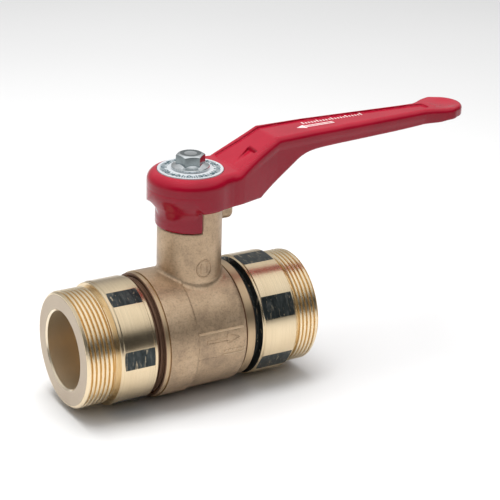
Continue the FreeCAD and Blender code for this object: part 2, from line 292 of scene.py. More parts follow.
def skin(field, low, high, step):
    """Quad mesh of the surface where a field is zero, one vertex in each cell it crosses."""
    axes = [np.arange(a - 1.5 * step - 1, b + 2.5 * step + 1, step) for a, b in zip(low, high)]
    x, y, z = axes[0][:, None, None], axes[1][None, :, None], axes[2][None, None, :]
    value = np.ascontiguousarray(field(x, y, z), dtype=np.float32)
    corners = [(i, j, k) for i in (0, 1) for j in (0, 1) for k in (0, 1)]
    cells = tuple(n - 1 for n in value.shape)

    def shifted(corner):
        return value[tuple(slice(c, c + n) for c, n in zip(corner, cells))]

    negative = sum((shifted(c) < 0).astype(np.int8) for c in corners)
    active = (negative > 0) & (negative < 8)
    where = np.argwhere(active)
    number = np.full(cells, -1, np.int64)
    number[active] = np.arange(len(where))
    total = np.zeros((len(where), 3))
    count = np.zeros(len(where))
    sample = {c: value[tuple((where + c).T)].astype(float) for c in corners}
    for a in corners:
        for axis in range(3):
            if a[axis]:
                continue
            b = tuple(1 if k == axis else a[k] for k in range(3))
            crossed = (sample[a] < 0) != (sample[b] < 0)
            share = np.where(crossed, sample[a] / np.where(crossed, sample[a] - sample[b], 1), 0)
            point = np.repeat(np.array([a], float), len(where), 0)
            point[:, axis] += share
            total += point * crossed[:, None]
            count += crossed
    start = np.array([axis[0] for axis in axes])
    verts = start + (where + total / count[:, None]) * step
    for _ in range(3):
        here = field(*verts.T)
        slope = gradient(field, verts, 0.15 * step)
        move = (here / np.maximum((slope ** 2).sum(1), 1e-6))[:, None] * slope
        length = np.linalg.norm(move, axis=1, keepdims=True)
        verts = verts - move * np.minimum(1, 0.6 * step / np.maximum(length, 1e-9))
    quads = []
    for axis in range(3):
        one, two = [(1, 2), (2, 0), (0, 1)][axis]
        span = [slice(1, n) for n in cells]
        span[axis] = slice(0, cells[axis])
        ahead = list(span)
        ahead[axis] = slice(1, cells[axis] + 1)
        here, there = value[tuple(span)] < 0, value[tuple(ahead)] < 0
        for entering in (False, True):
            at = np.argwhere((here != there) & (there == entering))
            for k in range(3):
                if k != axis:
                    at[:, k] += 1
            ring = []
            for shift_one, shift_two in ((1, 1), (0, 1), (0, 0), (1, 0)):
                cell = at.copy()
                cell[:, one] -= shift_one
                cell[:, two] -= shift_two
                ring.append(number[tuple(cell.T)])
            ring = np.stack(ring, -1)
            quads.append(ring[:, ::-1] if entering else ring)
    return verts, np.concatenate(quads)


def gradient(field, verts, reach):
    slopes = []
    for k in range(3):
        step = np.zeros(3)
        step[k] = reach
        slopes.append((field(*(verts + step).T) - field(*(verts - step).T)) / (2 * reach))
    return np.stack(slopes, -1)


# ---- materials -------------------------------------------------------------

class Nodes:
    """Short way to write a node tree around one Principled shader."""

    def __init__(self, name, color, metallic, roughness, **sockets):
        self.material = bpy.data.materials.new(name)
        self.material.use_nodes = True
        self.tree = self.material.node_tree
        self.shader = self.tree.nodes["Principled BSDF"]
        self.shader.inputs["Base Color"].default_value = (*color, 1)
        self.shader.inputs["Metallic"].default_value = metallic
        self.shader.inputs["Roughness"].default_value = roughness
        for socket, value in sockets.items():
            self.shader.inputs[socket.replace("_", " ")].default_value = value
        self.point = self.add("ShaderNodeTexCoord").outputs["Object"]

    def add(self, kind, inputs=(), **settings):
        node = self.tree.nodes.new(kind)
        for name, value in settings.items():
            setattr(node, name, value)
        for key, value in dict(inputs).items():
            if isinstance(value, bpy.types.NodeSocket):
                self.tree.links.new(value, node.inputs[key])
            else:
                node.inputs[key].default_value = value
        return node

    def link(self, output, socket):
        self.tree.links.new(output, self.shader.inputs[socket])

    def math(self, operation, *values):
        return self.add("ShaderNodeMath", dict(enumerate(values)), operation=operation).outputs[0]

    def stretch(self, scale):
        """The object's point with each axis scaled."""
        return self.add("ShaderNodeMapping", {"Vector": self.point, "Scale": scale}).outputs[0]

    def noise(self, scale, detail=3.0, roughness=0.55, vector=None, distortion=0.0):
        return self.add("ShaderNodeTexNoise", {
            "Vector": vector or self.point, "Scale": scale, "Detail": detail,
            "Roughness": roughness, "Distortion": distortion}).outputs["Fac"]

    def ramp(self, factor, *stops):
        """Colours or grey levels at positions along 0..1."""
        node = self.add("ShaderNodeValToRGB", {"Fac": factor})
        elements = node.color_ramp.elements
        while len(elements) < len(stops):
            elements.new(0.5)
        for element, (position, color) in zip(elements, stops):
            element.position = position
            color = (color,) * 3 if isinstance(color, (int, float)) else color
            element.color = (*color, 1)
        return node.outputs["Color"]

    def mix(self, factor, a, b, blend="MIX"):
        node = self.add("ShaderNodeMix", data_type="RGBA", blend_type=blend)
        for key, value in ((0, factor), (6, a), (7, b)):
            if isinstance(value, bpy.types.NodeSocket):
                self.tree.links.new(value, node.inputs[key])
            elif key == 0:
                node.inputs[key].default_value = value
            else:
                node.inputs[key].default_value = (*value, 1)
        return node.outputs[2]

    def bump(self, height, strength, distance):
        previous = self.shader.inputs["Normal"].links
        node = self.add("ShaderNodeBump", {"Height": height, "Strength": strength,
                                           "Distance": distance * MM})
        if previous:
            self.tree.links.new(previous[0].from_socket, node.inputs["Normal"])
        self.link(node.outputs[0], "Normal")

    def lathe_point(self, axis):
        """Point whose axes are the station along a turning axis and the radius from it."""
        parts = self.add("ShaderNodeSeparateXYZ", {"Vector": self.point})
        names = {"x": ("X", "Y", "Z"), "z": ("Z", "X", "Y")}[axis]
        station, one, two = (parts.outputs[n] for n in names)
        square = self.math("ADD", self.math("MULTIPLY", one, one), self.math("MULTIPLY", two, two))
        radius = self.math("SQRT", square)
        return self.add("ShaderNodeCombineXYZ", {"X": station, "Y": radius}).outputs[0]


def turned_metal(name, color, stain, roughness, axis="x", groove=0.10, metallic=1.0, soft=0.08):
    """Lathe-turned metal: fine rings about the axis, faint stains and handling marks."""
    n = Nodes(name, color, metallic, roughness)
    lathe = n.lathe_point(axis)
    rings = n.noise(2600.0, 2.0, 0.7, vector=lathe)
    broad = n.noise(380.0, 2.0, 0.5, vector=lathe)
    cloud = n.noise(34.0, 4.0, 0.6)
    tint = n.ramp(cloud, (0.30, stain), (0.62, color))
    line = n.ramp(rings, (0.30, 0.80), (0.62, 1.0))
    n.link(n.mix(0.6, tint, n.mix(1.0, tint, line, "MULTIPLY")), "Base Color")
    smear = n.math("MULTIPLY_ADD", n.noise(60.0, 4.0, 0.65), 2 * soft, roughness - soft)
    n.link(n.math("MULTIPLY_ADD", rings, 0.08, smear), "Roughness")
    n.bump(rings, groove, 0.02)
    n.bump(broad, groove * 0.5, 0.04)
    scratch = n.noise(90.0, 2.0, 0.5, vector=n.stretch((4.0, 1.0, 22.0)), distortion=0.6)
    n.bump(n.ramp(scratch, (0.66, 0.0), (0.70, 1.0)), 0.12, 0.02)
    return n.material


def cast_metal(name):
    """Shot-blasted bronze casting: fine pitted skin with darker and pinker clouds."""
    color = (0.51, 0.365, 0.235)
    n = Nodes(name, color, 0.72, 0.4)
    fine = n.noise(1900.0, 3.0, 0.7)
    grain = n.noise(1000.0, 4.0, 0.65)
    cloud = n.noise(70.0, 5.0, 0.7)
    tint = n.ramp(cloud, (0.30, (0.33, 0.235, 0.155)), (0.52, color), (0.74, (0.61, 0.45, 0.30)))
    speck = n.ramp(grain, (0.34, 0.78), (0.50, 1.0), (0.72, 1.10))
    n.link(n.mix(1.0, tint, speck, "MULTIPLY"), "Base Color")
    n.link(n.math("MULTIPLY_ADD", grain, 0.24, 0.26), "Roughness")
    n.bump(grain, 0.50, 0.14)
    n.bump(fine, 0.40, 0.06)
    n.bump(n.noise(120.0, 3.0, 0.6), 0.30, 0.30)
    return n.material


def red_coating(name):
    """Thick glossy coating over a die casting, with faint waves and small dust specks."""
    color = (0.31, 0.003, 0.019)
    n = Nodes(name, color, 0.0, 0.2, IOR=1.45)
    n.shader.inputs["Specular IOR Level"].default_value = 0.40
    cloud = n.noise(30.0, 4.0, 0.6)
    tint = n.ramp(cloud, (0.30, (0.26, 0.003, 0.016)), (0.52, color), (0.75, (0.35, 0.006, 0.023)))
    rub = n.noise(210.0, 5.0, 0.7)
    n.link(n.mix(n.ramp(rub, (0.68, 0.0), (0.82, 0.3)), tint, (0.50, 0.07, 0.08)), "Base Color")
    n.link(n.math("MULTIPLY_ADD", n.noise(75.0, 4.0, 0.6), 0.14, 0.10), "Roughness")
    n.bump(n.noise(150.0, 2.0, 0.5), 0.14, 0.14)
    n.bump(n.noise(900.0, 2.0, 0.5), 0.04, 0.03)
    return n.material


def painted_dark_flat(name):
    """Painted dark reflection on the collar's flats and painted shade in the outlet's gap: bluish black, with
    real scratches to bare brass.
    """
    n = Nodes(name, (0.05, 0.058, 0.060), 0.75, 0.34)
    streak = n.noise(120.0, 4.0, 0.7, vector=n.stretch((3.0, 1.0, 1.0)), distortion=1.2)
    lines = n.noise(60.0, 3.0, 0.6, vector=n.stretch((9.0, 2.0, 1.0)), distortion=2.5)
    base = n.ramp(streak, (0.30, (0.018, 0.024, 0.025)), (0.55, (0.050, 0.060, 0.060)),
                  (0.80, (0.15, 0.155, 0.14)))
    bare = n.ramp(lines, (0.635, 0.0), (0.66, 1.0), (0.70, 0.25))
    n.link(n.mix(bare, base, (0.62, 0.52, 0.36)), "Base Color")
    n.link(n.math("MULTIPLY_ADD", streak, 0.35, 0.18), "Roughness")
    n.bump(lines, 0.35, 0.12)
    n.bump(streak, 0.25, 0.08)
    return n.material


def zinc(name, color=(0.72, 0.76, 0.78), axis_scale=(1.0, 1.0, 1.0)):
    """Bright zinc plate: cold grey with soft streaks and small dull patches."""
    n = Nodes(name, color, 1.0, 0.2)
    cloud = n.noise(160.0, 4.0, 0.6)
    streak = n.noise(420.0, 3.0, 0.6, vector=n.stretch(axis_scale))
    n.link(n.ramp(cloud, (0.30, tuple(0.77 * c for c in color)), (0.60, color),
                  (0.85, tuple(1.17 * c for c in color))), "Base Color")
    n.link(n.math("MULTIPLY_ADD", streak, 0.16, 0.10), "Roughness")
    n.bump(streak, 0.18, 0.03)
    n.bump(cloud, 0.10, 0.08)
    return n.material


def plain_piece(name, color, metallic, roughness, scale, strength, **sockets):
    """Material of a hidden seal, seat or plated part: mottled colour and a fine skin."""
    n = Nodes(name, color, metallic, roughness, **sockets)
    grain = n.noise(scale, 4.0, 0.6)
    dark = tuple(0.78 * c for c in color)
    n.link(n.ramp(grain, (0.30, dark), (0.60, color)), "Base Color")
    n.link(n.math("MULTIPLY_ADD", grain, 0.16, roughness - 0.08), "Roughness")
    n.bump(grain, strength, 0.04)
    return n.material


MATERIALS = {
    "cast_bronze": cast_metal("cast_bronze"),
    "turned_brass": turned_metal("turned_brass", (0.83, 0.68, 0.46), (0.76, 0.60, 0.39), 0.20),
    "thread_brass": turned_metal("thread_brass", (0.95, 0.79, 0.55), (0.87, 0.70, 0.46), 0.22,
                                 groove=0.16),
    "face_brass": turned_metal("face_brass", (0.58, 0.485, 0.375), (0.53, 0.43, 0.33), 0.42,
                               metallic=0.8),
    # Painted light: a lighter copy of the turned brass for the end pieces' bores, brightening the shaded
    # inside.
    "bore_brass_painted_light": turned_metal("bore_brass_painted_light", (0.97, 0.84, 0.64), (0.90, 0.76, 0.56), 0.20,
                               metallic=0.85),
    "machined_bronze": turned_metal("machined_bronze", (0.62, 0.46, 0.29), (0.50, 0.36, 0.22),
                                    0.34, groove=0.2),
    # Painted shade: dark brown turned bronze for the body's end face, the groove at the outlet strip and the
    # inlet end piece's neck, where shade falls in the gaps.
    "painted_shade_bronze": turned_metal("painted_shade_bronze", (0.28, 0.165, 0.105), (0.19, 0.11, 0.075), 0.45,
                                 metallic=0.8),
    # Painted highlight: lighter bronze for the raised border lines and bars on the barrel, standing in for
    # light caught on their tops.
    "bead_highlight_bronze": turned_metal("bead_highlight_bronze", (0.74, 0.58, 0.40), (0.58, 0.43, 0.28), 0.38),
    "red_coating": red_coating("red_coating"),
    "painted_dark_flat": painted_dark_flat("painted_dark_flat"),
    "zinc_plate": zinc("zinc_plate"),
    # Painted shade: a darker copy of the bolt's zinc for its hexagon sides, standing in for the dark
    # surroundings they reflect.
    "zinc_side_painted_dark": zinc("zinc_side_painted_dark", (0.27, 0.31, 0.32), (1.0, 1.0, 4.0)),
    "printed_plate": turned_metal("printed_plate", (0.66, 0.69, 0.71), (0.58, 0.62, 0.65), 0.42,
                                  axis="z", metallic=0.45),
    "print_ink": plain_piece("print_ink", (0.012, 0.055, 0.070), 0.0, 0.5, 900.0, 0.1),
    "white_ink": plain_piece("white_ink", (0.72, 0.58, 0.57), 0.0, 0.45, 700.0, 0.15),
    "plated_ball": plain_piece("plated_ball", (0.80, 0.80, 0.82), 1.0, 0.12, 300.0, 0.03),
    "ptfe": plain_piece("ptfe", (0.86, 0.86, 0.83), 0.0, 0.42, 500.0, 0.08,
                        Subsurface_Weight=0.1),
    "seal_rubber": plain_piece("seal_rubber", (0.022, 0.022, 0.024), 0.0, 0.55, 800.0, 0.2),
}


# ---- camera, light and floor ----------------------------------------------

def add_camera():
    """Long lens from the front left, a little above, very slightly rolled."""
    azimuth, elevation, roll = (math.radians(a) for a in (-31.07, 21.72, 1.78))
    target = Vector((36.2, 0.0, 34.83)) * MM
    back = Vector((math.sin(azimuth) * math.cos(elevation),
                   -math.cos(azimuth) * math.cos(elevation), math.sin(elevation)))
    side = Vector((0, 0, 1)).cross(back).normalized()
    up = back.cross(side)
    right = side * math.cos(roll) + up * math.sin(roll)
    up = up * math.cos(roll) - side * math.sin(roll)
    matrix = Matrix((right, up, back)).transposed().to_4x4()
    matrix.translation = target + back * 864.7 * MM
    data = bpy.data.cameras.new("camera")
    data.lens = 119.6
    data.sensor_width = 36.0
    data.clip_start = 0.01
    camera = bpy.data.objects.new("camera", data)
    camera.matrix_world = matrix
    bpy.context.scene.collection.objects.link(camera)
    bpy.context.scene.camera = camera


def add_world():
    """White studio: bright overhead, a dark strip low on the near side, greyer far wall."""
    world = bpy.data.worlds.new("studio")
    bpy.context.scene.world = world
    world.use_nodes = True
    tree = world.node_tree
    background = tree.nodes["Background"]

    def node(kind, **settings):
        made = tree.nodes.new(kind)
        for name, value in settings.items():
            setattr(made, name, value)
        return made

    direction = node("ShaderNodeTexCoord").outputs["Generated"]
    split = node("ShaderNodeSeparateXYZ")
    tree.links.new(direction, split.inputs[0])

    def strip(stops):
        ramp_node = node("ShaderNodeValToRGB")
        elements = ramp_node.color_ramp.elements
        while len(elements) < len(stops):
            elements.new(0.5)
        for element, (height, level) in zip(elements, stops):
            element.position = (height + 1) / 2
            element.color = (level, level, level, 1)
        height_map = node("ShaderNodeMapRange")
        height_map.inputs["From Min"].default_value = -1
        tree.links.new(split.outputs["Z"], height_map.inputs["Value"])
        tree.links.new(height_map.outputs[0], ramp_node.inputs["Fac"])
        return ramp_node.outputs["Color"]

    near = strip([(-0.12, 0.90), (-0.05, 0.75), (0.03, 0.04), (0.43, 0.03), (0.56, 0.60), (0.68, 0.92),
                  (0.90, 1.08)])
    far = strip([(-0.10, 0.80), (0.00, 0.60), (0.11, 0.36), (0.30, 0.42), (0.47, 0.62), (0.70, 0.75),
                 (0.88, 1.08)])
    dot = node("ShaderNodeVectorMath", operation="DOT_PRODUCT")
    tree.links.new(direction, dot.inputs[0])
    dot.inputs[1].default_value = (0.15, -1.0, 0.0)
    side = node("ShaderNodeMapRange", interpolation_type="SMOOTHSTEP")
    side.inputs["From Min"].default_value = -0.25
    side.inputs["From Max"].default_value = 0.25
    tree.links.new(dot.outputs["Value"], side.inputs["Value"])
    mix = node("ShaderNodeMix", data_type="RGBA")
    tree.links.new(side.outputs[0], mix.inputs[0])
    tree.links.new(far, mix.inputs[6])
    tree.links.new(near, mix.inputs[7])
    tree.links.new(mix.outputs[2], background.inputs["Color"])
    background.inputs["Strength"].default_value = 1.0


def add_area(name, place, aim, size, power):
    data = bpy.data.lights.new(name, "AREA")
    data.shape = "RECTANGLE"
    data.size, data.size_y = (s * MM for s in size)
    data.energy = power
    light = bpy.data.objects.new(name, data)
    place, aim = Vector(place) * MM, Vector(aim) * MM
    turned = (place - aim).to_track_quat("Z", "Y").to_matrix().to_4x4()
    light.matrix_world = Matrix.Translation(place) @ turned
    light.visible_glossy = False
    bpy.context.scene.collection.objects.link(light)


def add_floor():
    n = Nodes("floor", (0.70, 0.70, 0.70), 0.0, 0.9)
    cloud = n.noise(3.0, 2.0, 0.5)
    n.link(n.ramp(cloud, (0.3, 0.69), (0.7, 0.71)), "Base Color")
    half, level = 4000.0, -BODY_R
    floor = mesh_piece("floor", [(-half, -half, level), (half, -half, level),
                                 (half, half, level), (-half, half, level)], [(0, 1, 2, 3)],
                       [n.material])


def add_studio():
    add_camera()
    add_world()
    add_area("softbox", (-60, 60, 900), (40, 0, 40), (700, 500), 10.0)
    add_floor()
    bpy.context.scene.view_settings.view_transform = "Standard"


# ---- lever handle ----------------------------------------------------------

CREST = [(19.3, HUB_TOP), (44.0, 98.5), (70, 99.2), (143, 99.7)]
TOP_LINE = CREST + [(150, 99.9), (PADDLE_TIP - 6, PADDLE_TOP)]
LOW_LINE = [(34.7, HUB_BOTTOM)] + bend([(44.5, 74.8), (53.6, 81.9), (58.8, 86.2), (66, 88.6), (79, 89.2)], 2)
LOW_LINE += bend([(120, 90.2), (137, 90.9), (146, 92.2), (151, 93.8), (156, 94.0)], 2)
HALF_WIDTH = bend([(5, 16.5), (12, 18.3), (20.5, 17.2), (27, 15.5), (35, 14.0), (46, 12.9),
                   (62, 12.2), (100, 10.1), (132, 8.1), (141, 7.7), (147, 8.8), (153, 10.6)], 1)
PADDLE_R = 11.8
PADDLE_X = PADDLE_TIP - PADDLE_R


def handle_walls(x, y):
    """Plan of hub, arm and paddle, filleted into each other."""
    y = np.abs(y)
    arm = polygon(x, y, [(5, -9)] + HALF_WIDTH + [(153, -9)])
    hub = np.hypot(x, y) - HUB_R
    paddle = np.hypot(x - PADDLE_X, y) - PADDLE_R
    return round_or(round_or(hub, arm, 2.0), paddle, 5.0)


def handle_field(x, y, z):
    over = polygon(x, z, [(-60, HUB_TOP)] + TOP_LINE + [(220, PADDLE_TOP), (220, 0), (-60, 0)])
    under = polygon(x, z, [(-60, HUB_BOTTOM)] + LOW_LINE + [(220, 94.2), (220, 200), (-60, 200)])
    crest = np.interp(x, *zip(*([(0, HUB_TOP)] + TOP_LINE)))
    depth = crest - z
    along = ramp(x, 18, 46)
    draft = along * (0.09 * np.maximum(depth - 3, 0) + 0.55 * ramp(depth, 4.0, 7.5))
    walls = handle_walls(x, y) + draft * (1 - ramp(x, 140, 152))
    rim = 5.5 - 2.5 * ramp(x, 6, 34) - 0.7 * ramp(x, 120, 160)
    solid = round_and(round_and(walls, over, rim), under, 1.7 - 0.5 * along)
    solid = round_and(solid, -panel_cut(x, y, z), 0.35)
    solid = round_and(solid, -finger_cut(x, y, z), 0.45)
    solid = round_and(solid, -grip_cut(x, y, z), 0.8)
    dish = np.sqrt((x - PADDLE_X - 1.0) ** 2 + y ** 2 + (z - PADDLE_TOP - 27.2) ** 2) - 28.6
    solid = round_and(solid, -dish, 0.7)
    bead = np.hypot(np.hypot(x - 146.6, np.maximum(np.abs(y) - 3.4, 0)), z - 98.9) - 1.0
    solid = round_or(solid, bead, 0.5)
    across = np.hypot(x, y)
    cavity = round_and(across - HUB_CAVITY_R, z - HUB_CAVITY_TOP, 1.5)
    solid = round_and(solid, -cavity, 0.7)
    drive = np.maximum(np.maximum(across - DRIVE_R, np.abs(y) - DRIVE_HALF_FLAT), HUB_WEB_BOTTOM - z)
    solid = np.maximum(solid, -drive)
    solid = round_or(solid, skirt(x, y, z, across), 0.5)
    return flared(solid, x, y, z, across)


def flared(solid, x, y, z, across):
    """Lead the hub's outer wall down into the skirt, step by step wider over the skirt's front."""
    polar = np.degrees(np.arctan2(y, x)) % 360
    share = ramp(polar, 152, 186) * (1 - ramp(polar, 246, 262))
    drop = ramp(z, 67.2 - 5.7 * share, 68.8 + 6.7 * share)
    wall = SKIRT_R + (HUB_R - SKIRT_R) * drop
    fill = np.maximum(across - wall, SKIRT_INNER_R - across)
    fill = np.maximum(fill, np.maximum(z - HUB_CAVITY_TOP, 60.0 - z))
    led = round_and(round_or(solid, fill, 0.5), across - wall, 0.3)
    return np.where(z < 77, solid + np.minimum(share / 0.12, 1) * (led - solid), solid)


def skirt(x, y, z, across):
    """Part ring under the hub that runs against the stop on the neck."""
    ring = round_and(across - SKIRT_R, SKIRT_INNER_R - across, 0.6)
    body = round_and(round_and(ring, sector(x, y, SKIRT_FROM, SKIRT_TO), 0.8), SKIRT_BOTTOM - z, 0.9)
    return np.maximum(body, z - 78.0)


def panel_cut(x, y, z):
    """Sunken panel between the rolled rims, from the hub up over the crank to the grip's end."""
    floor = polygon(x, z, [(21.0, HUB_TOP), (43.6, 97.15), (45.0, 97.6), (70, 98.25), (143.5, 98.8),
                           (146.0, 110), (0, 110), (15, 90)])
    edge = [(15, -9), (15, 12.9), (21, 12.2), (32, 10.1), (44, 9.1), (56, 9.3), (70, 9.1), (100, 7.1),
            (136, 4.7), (143, 3.6), (145.5, -9)]
    return round_and(floor, polygon(x, np.abs(y), edge), 0.3)


def finger_cut(x, y, z):
    """Tapered groove on the crank's panel, deepest at its upper end."""
    floor = polygon(x, z, [(21.6, 85.4), (33.6, 89.7), (34.6, 93.5), (30, 110), (10, 110)])
    plan = polygon(x, y, [(22.2, -5.4), (22.8, -4.0), (34.9, 0.9), (33.8, -8.1)])
    return round_and(floor, plan, 0.7)


def grip_cut(x, y, z):
    """Coring on the underside of the grip."""
    floor = polygon(x, z, [(64, 70), (68, 92.4), (80, 93.3), (138, 95.0), (140, 70)])
    plan = polygon(x, np.abs(y), [(66, -9), (66, 7.4), (100, 5.9), (138, 3.7), (138, -9)])
    return round_and(floor, plan, 1.4)


def make_handle():
    low, high = node_box("handle")
    verts, quads = skin(handle_field, low, high, 0.45)
    piece = mesh_piece("lever_handle", verts, quads, [MATERIALS["red_coating"]], crease=70)
    recess = turned_piece("recess", [(DIAL_SEAT, 0), (DIAL_SEAT, DIAL_R + 0.2),
                                     (HUB_TOP + 0.6, DIAL_R + 0.4), (HUB_TOP + 0.6, 0)],
                          "z", [MATERIALS["red_coating"]], steps=256)
    carve(piece, recess, crease=50)
    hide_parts("handle")
    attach(piece, "lever")


# ---- dial, bolt and print ---------------------------------------------------

def make_dial():
    top = DIAL_TOP
    outline = [(DIAL_SEAT, 4.3), (DIAL_SEAT, DIAL_R - 0.2), (DIAL_SEAT + 0.2, DIAL_R),
               (top - 0.45, DIAL_R), (top - 0.12, DIAL_R - 0.12), (top, DIAL_R - 0.45),
               (top, DIAL_R - 1.0), (top - 0.12, DIAL_R - 1.2), (top - 0.12, 11.3),
               (top, 11.1), (top, 4.5), (top - 0.2, 4.3)]
    piece = turned_piece("dial_plate", outline, "z", [MATERIALS["printed_plate"]], steps=256)
    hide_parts("dial_disc")
    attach(piece, "lever")


def text_mesh(word, size):
    """Thin raised outline of a number, centred on the origin."""
    curve = bpy.data.curves.new("digits", "FONT")
    curve.body = word
    curve.size = size * MM
    curve.align_x, curve.align_y = "CENTER", "CENTER"
    curve.extrude = 0.04 * MM
    curve.offset = 0.07 * MM
    holder = bpy.data.objects.new("digits", curve)
    bpy.context.scene.collection.objects.link(holder)
    mesh = bpy.data.meshes.new_from_object(holder.evaluated_get(bpy.context.evaluated_depsgraph_get()))
    bpy.data.objects.remove(holder)
    piece = bpy.data.objects.new("digits", mesh)
    bpy.context.scene.collection.objects.link(piece)
    return piece


def make_dial_print():
    """Degree scale on the plate: ticks all round and a number at each quarter's thirds."""
    level = DIAL_TOP - 0.10
    pieces = []
    for k in range(72):
        if k % 6 == 0:
            continue
        angle = math.radians(5 * k)
        reach = (11.8, 15.4) if k % 3 == 0 else (13.0, 15.2)
        half = 0.24
        tick = extruded("tick", [(reach[0], -half), (reach[1], -half), (reach[1], half),
                                 (reach[0], half)], level - 0.05, level + 0.04,
                        [MATERIALS["print_ink"]])
        tick.data.transform(Matrix.Rotation(angle, 4, "Z"))
        pieces.append(tick)
    for k in range(12):
        digits = text_mesh(str((30 * k) % 90), 4.3)
        digits.data.materials.clear()
        digits.data.materials.append(MATERIALS["print_ink"])
        angle = math.radians(30 * k - 121)
        place = Matrix.Rotation(angle + math.pi / 2, 4, "Z")
        spot = Vector((DIAL_SCALE_R * math.cos(angle), DIAL_SCALE_R * math.sin(angle), level))
        place.translation = spot * MM
        digits.data.transform(place)
        pieces.append(digits)
    piece = join("dial_scale", pieces)
    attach(piece, "lever")


def make_bolt():
    """Flanged hexagon bolt: conical flange, chamfered hexagon with a shallow crowned top."""
    corner = BOLT_HEX / math.sqrt(3)
    angle = [math.radians(60 * k + BOLT_TURN) for k in range(6)]
    plan = [(corner * math.cos(a), corner * math.sin(a)) for a in angle]
    # The hexagon's sides take the darker zinc copy, painted shade; the cut crown takes the bright zinc.
    head = extruded("handle_bolt_head", plan, DIAL_TOP + 1.0, BOLT_TOP, [MATERIALS["zinc_side_painted_dark"]])
    edge = BOLT_HEX / 2 - 0.35
    crown = [(DIAL_TOP, 0), (DIAL_TOP, corner + 0.3), (BOLT_TOP - (corner + 0.3 - edge) * 0.55, corner + 0.3),
             (BOLT_TOP - 0.28, edge + 0.15), (BOLT_TOP - 0.08, edge - 0.25),
             (BOLT_TOP, edge - 0.8), (BOLT_TOP, 3.2), (BOLT_TOP - 0.12, 2.6), (BOLT_TOP - 0.12, 0)]
    carve(head, turned_piece("crown", crown, "z", [MATERIALS["zinc_plate"]], steps=192), "INTERSECT")
    bevelled(head, 0.18, 2, 25)
    cone_r = BOLT_HEX / 2 + 0.9
    flange = [(BOLT_TIP, 0), (BOLT_TIP, 3.2), (BOLT_TIP + 0.8, 4.0), (DIAL_TOP - 0.3, 4.0),
              (DIAL_TOP, 4.3), (DIAL_TOP, BOLT_FLANGE_R - 0.35), (DIAL_TOP + 0.3, BOLT_FLANGE_R),
              (DIAL_TOP + 1.1, BOLT_FLANGE_R), (DIAL_TOP + 1.45, BOLT_FLANGE_R - 0.25),
              (DIAL_TOP + 1.65, BOLT_FLANGE_R - 0.9), (DIAL_TOP + 2.35, cone_r - 0.2),
              (DIAL_TOP + 3.0, cone_r - 1.0), (DIAL_TOP + 3.4, cone_r - 1.6), (DIAL_TOP + 3.4, 0)]
    skirt_piece = turned_piece("flange", flange, "z", [MATERIALS["zinc_plate"]], steps=192)
    carve(head, skirt_piece, "UNION")
    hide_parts("handle_bolt")
    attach(head, "lever")


def grip_level(x):
    """Height of the sunken panel's floor along the grip."""
    return float(np.interp(x, (45.0, 70, 143.5), (97.6, 98.25, 98.8)))


def make_grip_print():
    """Printed arrow and graduation on the grip's panel."""
    pieces = []

    def patch(outline):
        n = len(outline)
        verts = []
        for lift in (-0.05, 0.07):
            verts += [(x, y, grip_level(x) + lift) for x, y in outline]
        faces = [(k, (k + 1) % n, n + (k + 1) % n, n + k) for k in range(n)]
        faces += [tuple(range(n))[::-1], tuple(range(n, 2 * n))]
        pieces.append(mesh_piece("print", verts, faces, [MATERIALS["white_ink"]]))

    for k in range(21):
        x = 68.0 + 1.8 * k
        tall = 3.2 if k % 5 == 0 else 2.0
        patch([(x, 3.0), (x + 0.75, 3.0), (x + 0.75, 3.0 + tall), (x, 3.0 + tall)])
    for low in (-1.9, -0.2):
        patch([(66.5, low), (84, low), (84, low + 0.9), (66.5, low + 0.9)])
    patch([(61.5, -0.65), (66.6, -3.3), (66.6, 2.0)])
    piece = join("grip_print", pieces)
    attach(piece, "lever")


# ---- cast body ---------------------------------------------------------------

def body_field(x, y, z):
    """Raw casting, without its bores and machined ends."""
    ring = np.hypot(y, z)
    outline = [(-40, -5), (-40, BODY_R), (BODY_STEP - 0.15, BODY_R), (BODY_STEP + 0.35, BODY_RIGHT_R),
               (15.2, BODY_RIGHT_R), (16.6, 31.6), (17.3, 31.0), (18.6, 30.6), (30, 30.6), (30, -5)]
    barrel = polygon(x, ring, outline)
    across = np.hypot(x, y)
    neck = round_and(across - NECK_R, z - NECK_STEP, 0.4)
    core = np.maximum(across - NECK_CORE_R, z - NECK_TURNED_TO)
    stop_wall = round_and(across - NECK_R, sector(x, y, STOP_FROM, STOP_TO), 0.6)
    stop_wall = round_and(round_and(stop_wall, z - STOP_TOP, 0.5), NECK_STEP - 4 - z, 0.1)
    lug_side = round_and(np.abs(y) - LUG_HALF_WIDTH, x - LUG_REACH, 3.2)
    lug = round_and(round_and(lug_side, LUG_BOTTOM - z, 3.4), z - LUG_TOP, 0.6)
    lug = np.maximum(lug, 12.0 - x)
    top = round_or(np.minimum(np.minimum(neck, core), stop_wall), lug, 1.0)
    top = np.maximum(top, 20.0 - z)
    frame_box = np.maximum(np.maximum(np.abs(x - 2.2) - 13.0, np.abs(z - 1.7) - 6.9), y + 10)
    panel = round_and(ring - PANEL_R, frame_box, 0.2)
    return round_or(round_or(barrel, panel, 0.2), top, 1.8)


